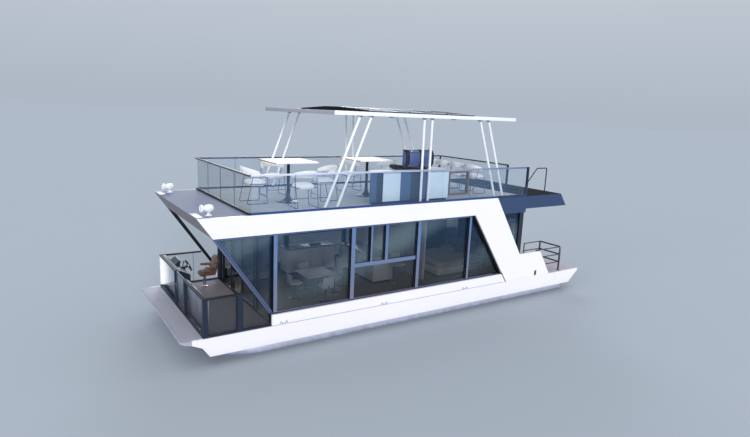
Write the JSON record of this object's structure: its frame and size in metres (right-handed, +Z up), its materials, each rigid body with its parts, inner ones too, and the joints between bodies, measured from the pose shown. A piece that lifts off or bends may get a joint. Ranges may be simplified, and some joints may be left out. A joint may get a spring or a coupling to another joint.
{
  "type": "houseboat",
  "caption": "Two-deck houseboat on round pontoons: glazed cabin between raked white side ribbons, helm terrace, railed upper deck and canopy on raked posts.",
  "frame": {"origin": "midships on the centreline, at the level of the pontoons' lowest line", "axes": "+X towards the bow, +Y to port, +Z up"},
  "size_m": [14.58, 4.5, 6.92],
  "materials": {
    "hull_alloy": "dull",
    "white_gloss": "gloss",
    "deck_grey": "matte",
    "terrace_floor": "matte",
    "slate": "satin",
    "tinted_glass": "clear",
    "rail_glass": "clear",
    "dark_rail": "satin",
    "steel": "polished",
    "console": "satin",
    "wheel_rubber": "matte",
    "leather": "satin",
    "white_paint": "gloss",
    "table_white": "gloss",
    "solar_cells": "gloss",
    "upper_floor": "matte",
    "bar_panel": "satin",
    "grill_navy": "gloss",
    "saloon_white": "satin",
    "drive_dark": "satin",
    "prop_alloy": "polished"
  },
  "bodies": {
    "hull": {"pontoon_port": "hull_alloy", "pontoon_starboard": "hull_alloy", "underdeck_frame": "hull_alloy", "hull_side_port": "white_gloss", "hull_side_starboard": "white_gloss", "side_ribbon_port": "white_gloss", "side_ribbon_starboard": "white_gloss", "bow_platform": "deck_grey", "upper_deck": "deck_grey", "main_deck": "terrace_floor", "stern_platform": "terrace_floor", "aft_roof": "slate", "window_frame_port": "slate", "window_frame_starboard": "slate", "front_frame": "slate", "aft_wall": "slate", "stair": "slate", "terrace_rail_port": "slate", "terrace_rail_starboard": "slate", "upper_rail": "slate", "window_glass_port": "tinted_glass", "window_glass_starboard": "tinted_glass", "front_glass_port": "tinted_glass", "front_glass_starboard": "tinted_glass", "aft_glass": "tinted_glass", "terrace_glass_port": "rail_glass", "terrace_glass_starboard": "rail_glass", "upper_glass": "rail_glass", "stair_rail": "dark_rail", "stern_rail_port": "steel", "stern_rail_starboard": "steel", "seat_pedestal": "steel", "helm_console": "console", "canopy": "white_paint", "searchlight_port": "white_paint", "searchlight_starboard": "white_paint", "table_forward": "table_white", "table_aft": "table_white", "solar_array": "solar_cells", "deck_covering_forward": "upper_floor", "deck_covering_middle": "upper_floor", "deck_covering_aft": "upper_floor", "bar_unit": "bar_panel", "grill_base": "grill_navy", "saloon": "saloon_white", "drive_bracket": "drive_dark"},
    "door_port": {"door_leaf_port": "slate", "door_glass_port": "tinted_glass"},
    "door_starboard": {"door_leaf_starboard": "slate", "door_glass_starboard": "tinted_glass"},
    "aft_door": {"aft_door": "slate", "aft_door_glass": "tinted_glass"},
    "gate": {"gate_frame": "slate", "gate_glass": "rail_glass"},
    "wheel": {"helm_wheel": "wheel_rubber"},
    "seat": {"helm_seat": "leather"},
    "grill_lid": {"grill_lid": "grill_navy"},
    "drive": {"drive_leg": "drive_dark"},
    "propeller": {"propeller": "prop_alloy"}
  },
  "joints": [
    {"name": "door_port_slide", "type": "slide", "parent": "hull", "child": "door_port", "axis": [0, 1, 0], "range_m": [0, 0.9]},
    {"name": "door_starboard_slide", "type": "slide", "parent": "hull", "child": "door_starboard", "axis": [0, -1, 0], "range_m": [0, 0.9]},
    {"name": "aft_door_hinge", "type": "hinge", "parent": "hull", "child": "aft_door", "pos_m": [-4.13, -1.744, 2.4], "axis": [0, 0, 1], "range_deg": [0, 95]},
    {"name": "gate_hinge", "type": "hinge", "parent": "hull", "child": "gate", "pos_m": [6.649, 0.464, 1.85], "axis": [0, 0, -1], "range_deg": [0, 92]},
    {"name": "wheel_turn", "type": "hinge", "parent": "hull", "child": "wheel", "pos_m": [6.022, -1.645, 2.067], "axis": [-0.9063, 0, 0.4226], "range_deg": [-540, 540]},
    {"name": "seat_swivel", "type": "hinge", "parent": "hull", "child": "seat", "pos_m": [5.549, -1.645, 1.8], "axis": [0, 0, 1], "range_deg": [-110, 45]},
    {"name": "grill_lid_hinge", "type": "hinge", "parent": "hull", "child": "grill_lid", "pos_m": [0.279, 1.75, 5.2596], "axis": [1, 0, 0], "range_deg": [0, 88]},
    {"name": "drive_steer", "type": "hinge", "parent": "hull", "child": "drive", "pos_m": [-6.25, 0, 0.75], "axis": [0, 0, 1], "range_deg": [-35, 35]},
    {"name": "propeller_spin", "type": "hinge", "parent": "drive", "child": "propeller", "pos_m": [-6.4403, 0, 0.4], "axis": [-1, 0, 0], "continuous": true}
  ]
}
